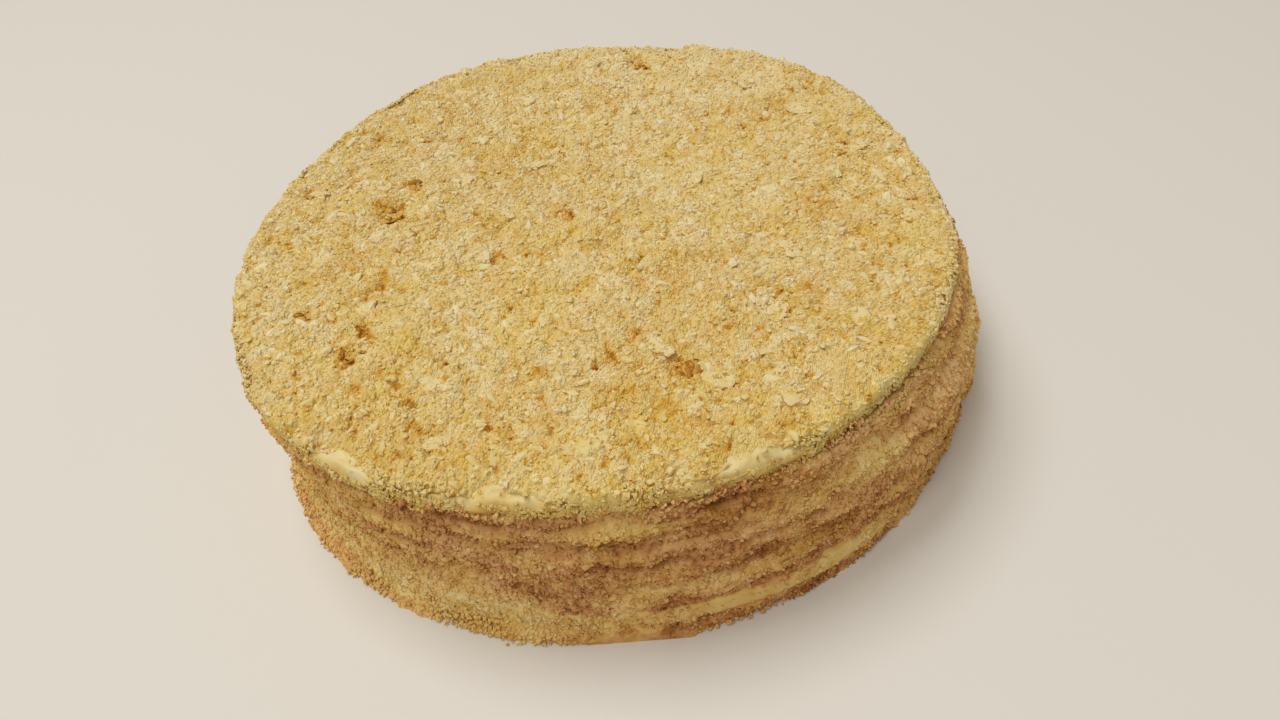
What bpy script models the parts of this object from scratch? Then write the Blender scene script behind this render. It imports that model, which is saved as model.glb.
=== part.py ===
"""A round napoleon cake: six pastry layers, the cream between them, a cream cap and a thick coat of crumbs.

Metres, +Z up. The origin is the middle of the cake's foot, and its front faces -Y.
Bearings turn from +X towards +Y. Each layer is its own solid, and a thin gap keeps it off the next one.
"""

import math
import random

import bmesh
import bpy
from mathutils import Matrix, Vector, noise

MM = 0.001

# Driving dimensions
GAP = 0.3 * MM
TOP_RADIUS = 122.5 * MM
BODY_RADIUS = 123.5 * MM
COAT_HEIGHT = 64.6 * MM
STEPS = 72
COAT_CELLS = 46

# Layers from the foot up: name, thickness, and how far the side stands out from the cake's own side
LAYERS = (
    ("pastry_1", 5.2 * MM, -0.6 * MM),
    ("cream_1", 7.2 * MM, 0.5 * MM),
    ("pastry_2", 5.0 * MM, -0.9 * MM),
    ("cream_2", 6.0 * MM, 0.3 * MM),
    ("pastry_3", 5.4 * MM, -0.9 * MM),
    ("cream_3", 5.0 * MM, 0.3 * MM),
    ("pastry_4", 5.2 * MM, -0.9 * MM),
    ("cream_4", 4.6 * MM, 0.3 * MM),
    ("pastry_5", 5.4 * MM, -1.2 * MM),
    ("cream_5", 3.6 * MM, 0.2 * MM),
    ("pastry_6", 4.9 * MM, -1.6 * MM),
)
CAP_THICKNESS = 4.0 * MM

# Waves of the layers: the foot and the cap's top are flat
WAVE_LONG = 1.2 * MM
WAVE_SHORT = 0.5 * MM

# Top outline, off a true circle: count of lobes, height, bearing of one lobe
LOBES = (
    (1, 2.1 * MM, 230.0),
    (2, 2.4 * MM, 86.0),
    (3, 0.9 * MM, 339.0),
    (4, 1.5 * MM, 41.0),
    (5, 0.9 * MM, 333.0),
    (6, 0.7 * MM, 348.0),
)
BODY_LOBE_SHARE = 0.4

# The stack under the top leans to the right, bulges there and spreads at the foot on the left
LEAN = 5.0 * MM
LEAN_BEARING = 340.0
BULGE = 2.4 * MM
BULGE_BEARING = 331.0
BULGE_WIDTH = 24.0
BULGE_HEIGHT = 29.0 * MM
BULGE_SPREAD = 18.0 * MM
FOOT_SPREAD = 2.4 * MM
FOOT_SPREAD_LEFT = 3.2 * MM
FOOT_BEARING = 190.0
FOOT_HEIGHT = 12.0 * MM
SHOULDER_LOW = 35.0 * MM
SHOULDER_HIGH = 60.0 * MM
SHOULDER_SHARE = 0.85

# Crags of the sides
CRAG_SIZE = 9.0 * MM
PASTRY_CRAG = 0.9 * MM
CREAM_CRAG = 0.5 * MM

# Cap edge and the places on the rim where the crumbs stop short of it: bearing, half width, how far
CAP_ROUND = 3.0 * MM
COAT_INSET = 0.3 * MM
RAGGED_EDGE = 1.1 * MM
RIM_DROP = 1.6 * MM
RIM_BAND = 0.07
BARE_RIM = (
    (205.0, 13.0, 2.5 * MM),
    (236.0, 8.0, 6.0 * MM),
    (262.0, 9.0, 6.5 * MM),
    (281.0, 3.5, 4.0 * MM),
    (291.0, 5.5, 5.5 * MM),
    (356.0, 7.0, 2.5 * MM),
)

# Relief of the coat: broad swells, clumps, and hollows given by place, half width and depth
SWELL_SIZE = 26.0 * MM
SWELL = 0.9 * MM
CLUMP_SIZE = 8.5 * MM
CLUMP = 1.1 * MM
HOLLOWS = (
    (-70.0 * MM, 10.0 * MM, 7.0 * MM, 2.4 * MM),
    (-66.0 * MM, 27.0 * MM, 5.0 * MM, 1.8 * MM),
    (-92.0 * MM, -42.0 * MM, 5.0 * MM, 2.4 * MM),
    (-73.0 * MM, -63.0 * MM, 6.5 * MM, 2.8 * MM),
    (-90.0 * MM, 36.0 * MM, 4.5 * MM, 1.6 * MM),
    (28.0 * MM, -80.0 * MM, 5.5 * MM, 2.2 * MM),
    (8.0 * MM, -92.0 * MM, 5.0 * MM, 1.6 * MM),
    (-5.0 * MM, -39.0 * MM, 5.0 * MM, 1.5 * MM),
    (20.0 * MM, 102.0 * MM, 6.0 * MM, 1.8 * MM),
    (72.0 * MM, 60.0 * MM, 6.0 * MM, 1.5 * MM),
    (-3.0 * MM, 68.0 * MM, 6.0 * MM, 1.4 * MM),
)
LEAST_COAT = 0.6 * MM

# Edge of the coat below its rim: each ring's way out from the last one, and its share of that one's height
COAT_SKIRT = ((0.8 * MM, 0.5), (-1.4 * MM, 0.0))

# Larger flakes on the coat, the largest first
FLAKES = 76
FLAKE_LONGEST = 12.0 * MM
FLAKE_SHORTEST = 5.5 * MM
FLAKE_WIDTH_SHARE = 0.55
FLAKE_THICKNESS = 2.2 * MM
FLAKE_TILT = 13.0
FLAKE_LIFT = 0.5 * MM
FLAKE_ROOM = 12.5 * MM
FLAKE_REACH = 0.92
FLAKE_JITTER = 3.0 * MM
PLASTIC_NUMBER = 1.32471795724

# Colours: red, green, blue, roughness
PASTRY_COLOUR = (0.62, 0.40, 0.17, 0.85)
CREAM_COLOUR = (0.83, 0.70, 0.30, 0.45)
CRUMB_COLOUR = (0.78, 0.58, 0.25, 0.9)


def smooth(x):
    """Ease from 0 to 1 as x goes from 0 to 1."""
    x = min(max(x, 0.0), 1.0)
    return x * x * (3.0 - 2.0 * x)


def turn_between(a, b):
    """Smallest turn in degrees from bearing b to angle a in radians."""
    return (math.degrees(a) - b + 180.0) % 360.0 - 180.0


def lobes(angle, first=1):
    """Outline's distance from its circle: a sum of cosines, from the lobe count `first` up."""
    return sum(
        height * math.cos(count * (angle - math.radians(bearing)))
        for count, height, bearing in LOBES
        if count >= first
    )


def top_edge(angle):
    """Radius of the cream cap."""
    return TOP_RADIUS + lobes(angle)


def side_edge(angle, z):
    """Radius of the stack: a leaning circle with a bulge and a foot, drawn in to the top's outline."""
    body = BODY_RADIUS + BODY_LOBE_SHARE * lobes(angle, first=2)
    body += LEAN * math.cos(angle - math.radians(LEAN_BEARING))
    across = turn_between(angle, BULGE_BEARING) / BULGE_WIDTH
    up = (z - BULGE_HEIGHT) / BULGE_SPREAD
    body += BULGE * math.exp(-across * across - up * up)
    spread = FOOT_SPREAD + FOOT_SPREAD_LEFT * math.cos(angle - math.radians(FOOT_BEARING))
    body += spread * max(0.0, 1.0 - z / FOOT_HEIGHT) ** 2
    share = SHOULDER_SHARE * smooth((z - SHOULDER_LOW) / (SHOULDER_HIGH - SHOULDER_LOW))
    return body + share * (top_edge(angle) - body)


def wave(angle, level):
    """Rise of the boundary under layer `level` at the side: two cosines that drift from layer to layer."""
    if level == 0:
        return 0.0
    long_part = WAVE_LONG * math.cos(2.0 * angle - 2.2 - 0.45 * level)
    return long_part + WAVE_SHORT * math.cos(5.0 * angle + 1.3 * level)


def crag(point, size, seed):
    """Smooth noise between -1 and 1, its lumps `size` across."""
    return noise.noise(point / size + Vector((17.3 * seed, -5.1 * seed, 3.7 * seed)))


def material(name, colour):
    """Principled material from a colour and a roughness."""
    made = bpy.data.materials.new(name)
    made.use_nodes = True
    shader = made.node_tree.nodes["Principled BSDF"]
    shader.inputs["Base Color"].default_value = (*colour[:3], 1.0)
    shader.inputs["Roughness"].default_value = colour[3]
    shader.inputs["Metallic"].default_value = 0.0
    made.diffuse_color = (*colour[:3], 1.0)
    return made


def add_object(name, mesh, collection, finish=None):
    """New object for a mesh, in a collection."""
    made = bpy.data.objects.new(name, mesh)
    collection.objects.link(made)
    if finish:
        mesh.materials.append(finish)
    return made


def turned(name, profile, collection, finish):
    """Solid of revolution: a profile of radius and height, down its outer side, turned about the Z axis."""
    mesh = bpy.data.meshes.new(name)
    points = [(radius, 0.0, z) for radius, z in profile]
    mesh.from_pydata(points, [(i, i + 1) for i in range(len(points) - 1)], [])
    made = add_object(name, mesh, collection)
    screw = made.modifiers.new("turn", "SCREW")
    screw.axis = "Z"
    screw.angle = 2.0 * math.pi
    screw.steps = STEPS
    screw.render_steps = STEPS
    screw.use_merge_vertices = True
    screw.merge_threshold = 0.01 * MM
    apply_modifiers(made)
    welded = bmesh.new()
    welded.from_mesh(made.data)
    bmesh.ops.remove_doubles(welded, verts=welded.verts, dist=0.01 * MM)
    bmesh.ops.recalc_face_normals(welded, faces=welded.faces)
    welded.to_mesh(made.data)
    welded.free()
    made.data.materials.append(finish)
    return made


def apply_modifiers(made):
    """Replace an object's mesh with its evaluated one."""
    graph = bpy.context.evaluated_depsgraph_get()
    mesh = bpy.data.meshes.new_from_object(made.evaluated_get(graph))
    made.modifiers.clear()
    made.data = mesh


def shape_layer(made, bottom, top, level, stand_out, crag_height):
    """Give a turned layer the cake's own side, its waves and its crags.

    A boundary's rise grows straight from the axis, so that both of its faces lie in the same planes.
    """
    for vertex in made.data.vertices:
        place = vertex.co
        radius = math.hypot(place.x, place.y)
        if radius < GAP:
            continue
        angle = math.atan2(place.y, place.x)
        share = (place.z - bottom) / (top - bottom)
        low = wave(angle, level)
        high = wave(angle, level + 1)
        edge = side_edge(angle, place.z) + stand_out + radius - BODY_RADIUS
        unit = Vector((math.cos(angle), math.sin(angle), 0.0))
        edge += crag_height * crag(unit * edge + Vector((0.0, 0.0, place.z)), CRAG_SIZE, level + 1)
        rise = (low + share * (high - low)) * edge / BODY_RADIUS
        vertex.co = unit * edge + Vector((0.0, 0.0, place.z + rise))


def build_layers(collection, pastry, cream):
    """Pastry and cream from the foot up, and the height that they reach."""
    bottom = 0.0
    for level, (name, thickness, stand_out) in enumerate(LAYERS):
        is_pastry = name.startswith("pastry")
        top = bottom + thickness - GAP
        middle = (bottom + top) / 2.0
        swell = -0.3 * MM if is_pastry else 0.7 * MM
        profile = (
            (0.0, top),
            (BODY_RADIUS, top),
            (BODY_RADIUS + swell, middle),
            (BODY_RADIUS, bottom),
            (0.0, bottom),
        )
        made = turned(name, profile, collection, pastry if is_pastry else cream)
        crag_height = PASTRY_CRAG if is_pastry else CREAM_CRAG
        shape_layer(made, bottom, top, level, stand_out, crag_height)
        made.data.shade_smooth()
        made.data.set_sharp_from_angle(angle=math.radians(40.0))
        bottom += thickness
    return bottom


def build_cap(bottom, collection, cream):
    """Cream over the top layer: flat above, rounded at its edge, its underside following the last wave."""
    top = bottom + CAP_THICKNESS
    profile = (
        (0.0, top),
        (TOP_RADIUS - 2.0 * CAP_ROUND, top),
        (TOP_RADIUS - 0.6 * CAP_ROUND, top - 0.25 * CAP_ROUND),
        (TOP_RADIUS, top - 0.75 * CAP_ROUND),
        (TOP_RADIUS - 0.3 * CAP_ROUND, bottom),
        (0.0, bottom),
    )
    made = turned("cream_cap", profile, collection, cream)
    for vertex in made.data.vertices:
        radius = math.hypot(vertex.co.x, vertex.co.y)
        if radius < GAP:
            continue
        angle = math.atan2(vertex.co.y, vertex.co.x)
        edge = top_edge(angle) + radius - TOP_RADIUS
        unit = Vector((math.cos(angle), math.sin(angle), 0.0))
        lump = CREAM_CRAG * crag(unit * edge + Vector((0.0, 0.0, vertex.co.z)), CRAG_SIZE, 20)
        z = vertex.co.z
        if z < bottom + GAP:
            edge += lump
            z += wave(angle, len(LAYERS)) * edge / BODY_RADIUS
        elif z < top - GAP:
            edge += lump
        vertex.co = unit * edge + Vector((0.0, 0.0, z))
    made.data.shade_smooth()
    made.data.set_sharp_from_angle(angle=math.radians(40.0))
    return top


def coat_edge(angle):
    """Radius of the crumb coat: inside the cap's edge, and further in where the rim is bare."""
    inset = COAT_INSET
    for bearing, half_width, depth in BARE_RIM:
        across = turn_between(angle, bearing) / half_width
        inset += depth * math.exp(-across * across)
    around = Vector((math.cos(angle), math.sin(angle), 0.0)) * TOP_RADIUS
    ragged = RAGGED_EDGE * crag(around, CLUMP_SIZE, 31)
    return top_edge(angle) - inset + ragged


def coat_height(x, y, share):
    """Height of the coat's surface at a place, `share` of the way from the middle to its edge."""
    place = Vector((x, y, 0.0))
    z = COAT_HEIGHT + SWELL * crag(place, SWELL_SIZE, 41) + CLUMP * crag(place, CLUMP_SIZE, 42)
    for centre_x, centre_y, half_width, depth in HOLLOWS:
        away = ((x - centre_x) ** 2 + (y - centre_y) ** 2) / half_width ** 2
        z -= depth * math.exp(-away)
    return z - RIM_DROP * smooth((share - 1.0 + RIM_BAND) / RIM_BAND)


def round_off(a, b):
    """Carry a square's point to a disc's: rings of the square become circles, and cells keep one size."""
    if abs(a) > abs(b):
        radius, angle = a, math.pi / 4.0 * b / a
    elif b:
        radius, angle = b, math.pi / 2.0 - math.pi / 4.0 * a / b
    else:
        return 0.0, 0.0
    if radius < 0.0:
        radius, angle = -radius, angle + math.pi
    return radius, angle


def build_coat(bottom, collection, crumb):
    """Crumb coat: a grid drawn round, raised into clumps and hollows, ragged at its edge and flat below."""
    coat = bmesh.new()
    bmesh.ops.create_grid(coat, x_segments=COAT_CELLS, y_segments=COAT_CELLS, size=1.0)
    for vertex in coat.verts:
        share, angle = round_off(vertex.co.x, vertex.co.y)
        radius = share * coat_edge(angle)
        x, y = radius * math.cos(angle), radius * math.sin(angle)
        z = max(coat_height(x, y, share), bottom + LEAST_COAT)
        vertex.co = (x, y, z)
    for out, height_share in COAT_SKIRT:
        rim = [edge for edge in coat.edges if edge.is_boundary]
        drawn = bmesh.ops.extrude_edge_only(coat, edges=rim)
        for vertex in (part for part in drawn["geom"] if isinstance(part, bmesh.types.BMVert)):
            angle = math.atan2(vertex.co.y, vertex.co.x)
            radius = math.hypot(vertex.co.x, vertex.co.y) + out
            z = bottom + height_share * (vertex.co.z - bottom)
            vertex.co = (radius * math.cos(angle), radius * math.sin(angle), z)
    rim = [edge for edge in coat.edges if edge.is_boundary]
    bmesh.ops.contextual_create(coat, geom=rim)
    bmesh.ops.triangulate(coat, faces=coat.faces)
    bmesh.ops.recalc_face_normals(coat, faces=coat.faces)
    mesh = bpy.data.meshes.new("crumb_coat")
    coat.to_mesh(mesh)
    coat.free()
    return add_object("crumb_coat", mesh, collection, crumb)


def build_flakes(bottom, collection, crumb):
    """Flakes spread evenly over the disc, each a flat angular lump lying on the coat at a small tilt.

    Bearing and share of the area step by the powers of the plastic number, so that no two fall together.
    Each flake's own number seeds its draws. One that would touch an earlier flake, or lie in a hollow, is
    left out.
    """
    tilt = math.radians(FLAKE_TILT)
    placed = []
    for number in range(FLAKES):
        draw = random.Random(number)
        share = FLAKE_REACH * math.sqrt((number + 0.5) / PLASTIC_NUMBER ** 2 % 1.0)
        angle = 2.0 * math.pi * (number / PLASTIC_NUMBER % 1.0)
        x = share * TOP_RADIUS * math.cos(angle) + draw.uniform(-1.0, 1.0) * FLAKE_JITTER
        y = share * TOP_RADIUS * math.sin(angle) + draw.uniform(-1.0, 1.0) * FLAKE_JITTER
        length = FLAKE_LONGEST + (FLAKE_SHORTEST - FLAKE_LONGEST) * number / FLAKES
        width = length * FLAKE_WIDTH_SHARE * draw.uniform(0.8, 1.2)
        size = Vector((length, width, FLAKE_THICKNESS)) / 2.0
        turn = Matrix.Rotation(draw.uniform(0.0, 2.0 * math.pi), 4, "Z")
        turn @= Matrix.Rotation(draw.uniform(-tilt, tilt), 4, "Y")
        turn @= Matrix.Rotation(draw.uniform(-tilt, tilt), 4, "X")
        reach = math.hypot(x, y) / coat_edge(math.atan2(y, x))
        lift = coat_height(x, y, reach) + FLAKE_LIFT
        crowded = any(math.dist((x, y), other) < FLAKE_ROOM for other in placed)
        if crowded or reach > FLAKE_REACH or lift < bottom + 2.0 * MM:
            continue
        placed.append((x, y))
        flake = bmesh.new()
        bmesh.ops.create_icosphere(flake, subdivisions=1, radius=1.0)
        for vertex in flake.verts:
            uneven = 1.0 + draw.uniform(-0.22, 0.22)
            vertex.co = Vector(vertex.co[i] * size[i] * uneven for i in range(3))
        flake.transform(Matrix.Translation((x, y, lift)) @ turn)
        name = f"flake_{number}"
        mesh = bpy.data.meshes.new(name)
        flake.to_mesh(mesh)
        flake.free()
        add_object(name, mesh, collection, crumb)


def fuse(body, pieces):
    """Join a collection's objects to a body by one Boolean union, then remove them."""
    union = body.modifiers.new("fuse", "BOOLEAN")
    union.operation = "UNION"
    union.operand_type = "COLLECTION"
    union.collection = pieces
    union.solver = "EXACT"
    apply_modifiers(body)
    for piece in list(pieces.objects):
        bpy.data.objects.remove(piece)
    bpy.data.collections.remove(pieces)


def settle(objects):
    """Move all pieces together until the middle of the cake's foot is at the origin."""
    points = [piece.matrix_world @ vertex.co for piece in objects for vertex in piece.data.vertices]
    low = Vector(min(point[i] for point in points) for i in range(3))
    high = Vector(max(point[i] for point in points) for i in range(3))
    middle = (low + high) / 2.0
    for piece in objects:
        piece.data.transform(Matrix.Translation((-middle.x, -middle.y, -low.z)))
        piece.data.update()


def main():
    for old in list(bpy.data.objects):
        bpy.data.objects.remove(old)
    cake = bpy.data.collections.new("napoleon_cake")
    flakes = bpy.data.collections.new("flakes")
    for made in (cake, flakes):
        bpy.context.scene.collection.children.link(made)
    pastry = material("pastry", PASTRY_COLOUR)
    cream = material("cream", CREAM_COLOUR)
    crumb = material("crumb", CRUMB_COLOUR)
    layers_top = build_layers(cake, pastry, cream)
    coat_bottom = build_cap(layers_top, cake, cream) + GAP
    coat = build_coat(coat_bottom, cake, crumb)
    build_flakes(coat_bottom, flakes, crumb)
    fuse(coat, flakes)
    settle(list(cake.objects))


main()
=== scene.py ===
"""A round napoleon cake: dense layers, cream cap and crumb coat, with the crumbs and flakes that cover them.

Metres, +Z up, in the part's own frame. Every shape is worked out about the cake's own axis, which stands a
little off the origin, and is moved there at the end. Bearings turn from +X towards +Y.
"""

import itertools
import math
import random

import bpy
import numpy as np
from mathutils import Euler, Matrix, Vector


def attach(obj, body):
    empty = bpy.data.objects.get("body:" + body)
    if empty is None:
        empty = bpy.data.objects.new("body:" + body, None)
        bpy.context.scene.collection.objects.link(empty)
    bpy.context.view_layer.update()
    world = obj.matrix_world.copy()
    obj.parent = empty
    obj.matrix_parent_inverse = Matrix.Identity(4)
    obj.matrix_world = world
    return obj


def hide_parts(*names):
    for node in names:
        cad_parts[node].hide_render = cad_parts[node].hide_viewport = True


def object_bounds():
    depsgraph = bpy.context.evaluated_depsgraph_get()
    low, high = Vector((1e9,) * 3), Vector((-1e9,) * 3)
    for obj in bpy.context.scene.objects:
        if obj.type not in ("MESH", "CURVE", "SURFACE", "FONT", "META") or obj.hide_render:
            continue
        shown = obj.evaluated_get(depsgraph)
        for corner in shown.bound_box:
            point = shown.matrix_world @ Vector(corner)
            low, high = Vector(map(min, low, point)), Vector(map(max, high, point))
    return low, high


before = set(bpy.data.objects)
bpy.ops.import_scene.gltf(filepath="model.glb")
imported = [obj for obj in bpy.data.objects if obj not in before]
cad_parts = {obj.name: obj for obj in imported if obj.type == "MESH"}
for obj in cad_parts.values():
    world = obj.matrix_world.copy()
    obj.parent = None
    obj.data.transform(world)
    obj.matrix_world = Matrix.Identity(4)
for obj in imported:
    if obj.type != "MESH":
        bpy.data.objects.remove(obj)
first_low, first_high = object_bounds()

MM = 0.001
AXIS = np.array((-3.17, 1.98, 0.0)) * MM
BOX_LOW = np.array(first_low) - AXIS
BOX_HIGH = np.array(first_high) - AXIS

# Stack, as in the part: layers by name, thickness and how far they stand out (mm), waves and outline
GAP = 0.3 * MM
SIDE_GAP = 0.03 * MM
TOP_RADIUS = 122.5 * MM
BODY_RADIUS = 123.5 * MM
COAT_HEIGHT = 64.6 * MM
CAP_THICKNESS = 4.0 * MM
LAYERS = (
    ("pastry_1", 5.2, -0.6),
    ("cream_1", 7.2, 0.5),
    ("pastry_2", 5.0, -0.9),
    ("cream_2", 6.0, 0.3),
    ("pastry_3", 5.4, -0.9),
    ("cream_3", 5.0, 0.3),
    ("pastry_4", 5.2, -0.9),
    ("cream_4", 4.6, 0.3),
    ("pastry_5", 5.4, -1.2),
    ("cream_5", 3.6, 0.2),
    ("pastry_6", 4.9, -1.6),
)
BOUNDARIES = np.concatenate(((0.0,), np.cumsum([thickness * MM for name, thickness, out in LAYERS])))
IS_CREAM = np.array([name.startswith("cream") for name, thickness, out in LAYERS])
STAND_OUT = np.array([out * MM for name, thickness, out in LAYERS])
CAP_BOTTOM = BOUNDARIES[-1]
CAP_TOP = CAP_BOTTOM + CAP_THICKNESS
COAT_BOTTOM = CAP_TOP + GAP
WAVE_LONG = 1.2 * MM
WAVE_SHORT = 0.5 * MM
LOBES = np.array((
    (1, 2.1, 230.0),
    (2, 2.4, 86.0),
    (3, 0.9, 339.0),
    (4, 1.5, 41.0),
    (5, 0.9, 333.0),
    (6, 0.7, 348.0),
)) * (1.0, MM, 1.0)
BODY_LOBE_SHARE = 0.4
LEAN = 5.0 * MM
LEAN_BEARING = 340.0
BULGE = 2.4 * MM
BULGE_BEARING = 331.0
BULGE_WIDTH = 24.0
BULGE_HEIGHT = 29.0 * MM
BULGE_SPREAD = 18.0 * MM
FOOT_SPREAD = 2.4 * MM
FOOT_SPREAD_LEFT = 3.2 * MM
FOOT_BEARING = 190.0
FOOT_HEIGHT = 12.0 * MM
SHOULDER_LOW = 35.0 * MM
SHOULDER_HIGH = 60.0 * MM
SHOULDER_SHARE = 0.85

# Rim: bearing, half width, and in mm how far the crumbs stop short of it and how high the cream is smeared.
# Each table of noises, here and further on, has a row for each noise: strength, size and seed.
BARE_RIM = np.array((
    (205, 9, 1.4, 0.6),
    (236, 5, 4, 2.2),
    (249, 4, 2, 0.8),
    (259, 5, 4.2, 2),
    (281, 2.5, 1.8, 0.8),
    (290, 5.4, 4.6, 2.2),
    (356, 6, 1.4, 0.6),
)) * (1.0, 1.0, MM, MM)
STOP_SHORT, SMEARED = 2, 3
COAT_INSET = 0.3 * MM
RAGGED_EDGE = ((1.1 * MM, 8.5 * MM, 31), (0.6 * MM, 3.0 * MM, 32))
RAGGED_HEM = ((5.2 * MM, 11.0 * MM, 101), (2.2 * MM, 3.6 * MM, 102))
RIM_BUMPS = ((0.7 * MM, 4.5 * MM, 97), (0.7 * MM, 10.0 * MM, 105))
RIM_MOTTLES = ((0.08, 5.0 * MM, 93), (0.10, 2.2 * MM, 98))
CAP_RINGS = np.array((20, 12, 9.5, 8, 7, 6.2, 5.4, 4.7, 4, 3.4, 2.8, 2.2, 1.7, 1.2, 0.8, 0.4, 0.1)) * MM
CAP_RIPPLES = ((0.4, 3.0 * MM, 82), (0.3, 1.6 * MM, 80))
CAP_TONE = 0.34
SMEAR_RISE = 1.7 * MM
SMEAR_END = 5.6 * MM
SMEAR_FADE = 3.0 * MM

# Relief of the coat: packed crumbs by size, height and seed; hollows by place, half width and depth in mm
CRUMB_BED = 2.3 * MM
SWELLS = ((0.9 * MM, 26.0 * MM, 41), (1.3 * MM, 8.5 * MM, 42))
PACKED = (
    (7.5 * MM, 1.4 * MM, 61),
    (3.6 * MM, 1.5 * MM, 62),
    (2.0 * MM, 1.2 * MM, 63),
    (1.2 * MM, 0.7 * MM, 64),
)
RIM_ROUND = 2.4 * MM
QUARTER_GAP = 0.04 * MM
QUARTERS = (("back_right", 0, 0), ("back_left", 1, 0), ("front_left", 1, 1), ("front_right", 0, 1))
HOLLOWS = np.array((
    (-70, 10, 7, 1.8),
    (-66, 27, 5, 1.4),
    (-92, -42, 5, 2),
    (-73, -63, 6.5, 2.6),
    (-90, 36, 4.5, 1.6),
    (28, -80, 5.5, 1.4),
    (8, -92, 5, 1.6),
    (-5, -39, 5, 1.5),
    (20, 102, 6, 1.8),
    (72, 60, 6, 1.5),
    (-3, 68, 6, 1.4),
)) * MM
BROWN_HOLLOWS = (0, 1, 2, 3, 5, 8)

# Browner spots of the coat: place and half width in mm, and how much deeper their tone is
SPOTS = np.array((
    (-85, 82, 2, 0.26),
    (-31, 97, 2.2, 0.22),
    (-89.6, 35.6, 2.2, 0.36),
    (-66.3, 28.2, 2.4, 0.38),
    (-75, 13, 3.2, 0.28),
    (-70, 7, 2.6, 0.42),
    (-103, 24.5, 2.6, 0.20),
    (-86, -7, 3, 0.16),
    (-93, -42, 2.8, 0.40),
    (-73.6, -60, 3, 0.38),
    (-75, -65, 2.6, 0.40),
    (-39, -53, 2.6, 0.20),
    (-50, -97, 2.4, 0.30),
    (-43, -26, 3, 0.14),
    (-8.6, -2.5, 1.8, 0.24),
    (-2.5, -39, 3.6, 0.22),
    (9.8, -89.6, 3, 0.28),
    (27, -81, 3.4, 0.38),
    (21, 103, 4, 0.28),
    (74, 60, 4.6, 0.20),
    (74, -7, 3, 0.18),
    (66, -47, 2.4, 0.24),
    (-3, 68, 4, 0.16),
)) * (MM, MM, MM, 1.0)
SPOT_SPREAD = 3.2 * MM
COAT_TONE = 0.83
# Painted shade: the tone is deeper in the coat's crevices, and deeper still in its bed where it shows
# between the loose crumbs
PAINTED_SHADE_DEPTH = 0.28
FRONT_DEEPER = 0.35
BED_PAINTED_SHADE = 0.18
COAT_MOTTLES = ((0.06, 18.0 * MM, 92), (0.09, 5.0 * MM, 90))
GOLDEN_SHARE = 0.25
GOLDEN_FRONT = 1.6
GOLDEN_MOTTLES = ((0.45, 4.5 * MM, 94), (0.25, 15.0 * MM, 89))

# Side: tones, and patches by bearing, height (mm), half width, half height (mm), changes of tone and cream
PASTRY_TONE = 0.37
CREAM_TONE = 0.52
SIDE_TONE = 0.44
TORN_LAYERS = ((1.9 * MM, 4.5 * MM, 14), (2.4 * MM, 26.0 * MM, 16))
SIDE_LUMPS = (3.1 * MM, 71)
SIDE_GRAINS = (1.6 * MM, 76)
LUMP_DEPTH = 1.0 * MM
GRAIN_DEPTH = 0.5 * MM
LEDGE_DEPTH = 0.9 * MM
CRAG_DEPTH = 0.7 * MM
# Mostly the side's own colour; the deeper patches just under the cap (bearings 252 and 287) are partly
# painted shade under its overhang, and the paler one low at the front (bearing 250, 12 mm) is partly painted
# light bounced up from the floor
PATCHES = np.array((
    (252, 53, 16, 5, -0.13, -0.3),
    (272, 53.5, 5, 5, 0.20, 0.7),
    (287, 51, 10, 5, -0.15, -0.3),
    (260, 43.5, 6, 3, 0.12, 0.4),
    (267, 37, 7, 5, -0.10, -0.2),
    (280, 38, 8, 5, -0.05, -0.2),
    (277, 24, 8, 4, 0.12, 0.6),
    (288, 33, 6, 4, -0.12, -0.2),
    (300, 26, 12, 7, -0.08, -0.2),
    (250, 12, 20, 8, 0.21, 0.5),
    (284, 3, 18, 3.5, -0.10, 0),
    (248, 2, 20, 6, 0.12, 0.5),
    (208, 30, 27, 34, 0.26, 0.9),
    (256, 8, 16, 6, 0.08, 0.3),
    (316, 40, 18, 24, 0.15, 0.15),
    (348, 36, 20, 30, 0.17, 0.3),
    (300, 44, 14, 12, 0.08, 0.15),
    (306, 45, 3, 6, 0.22, 0.4),
    (303, 9, 8, 4, 0.18, 0.2),
    (292, 8.5, 18, 3.5, 0.06, 0.1),
)) * (1.0, MM, 1.0, MM, 1.0, 1.0)
BARE_LAYER = 1
BARE_BAND_BEARING = 291.0
BARE_BAND_HALF = 20.0

# Larger flakes, as in the part
FLAKES = 76
FLAKES_LEFT_OUT = (
    10, 22, 24, 31, 50, 51, 53, 54, 55, 56, 57, 58, 60, 62, 63, 64, 65, 66, 67, 69, 70, 72, 73, 74,
)
FLAKE_LONGEST = 12.0 * MM
FLAKE_SHORTEST = 5.5 * MM
FLAKE_WIDTH_SHARE = 0.55
FLAKE_THICKNESS = 2.2 * MM
FLAKE_TILT = 13.0
FLAKE_REACH = 0.92
FLAKE_JITTER = 3.0 * MM
FLAKE_SETTLED = -0.9 * MM
PLASTIC_NUMBER = 1.32471795724

# Crumbs: shapes, painted shade in their crevices, depth and lift on the top and the side, rim, foot and
# shards
SHAPE_KINDS = 14
UNEVENNESS = 0.26
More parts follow.
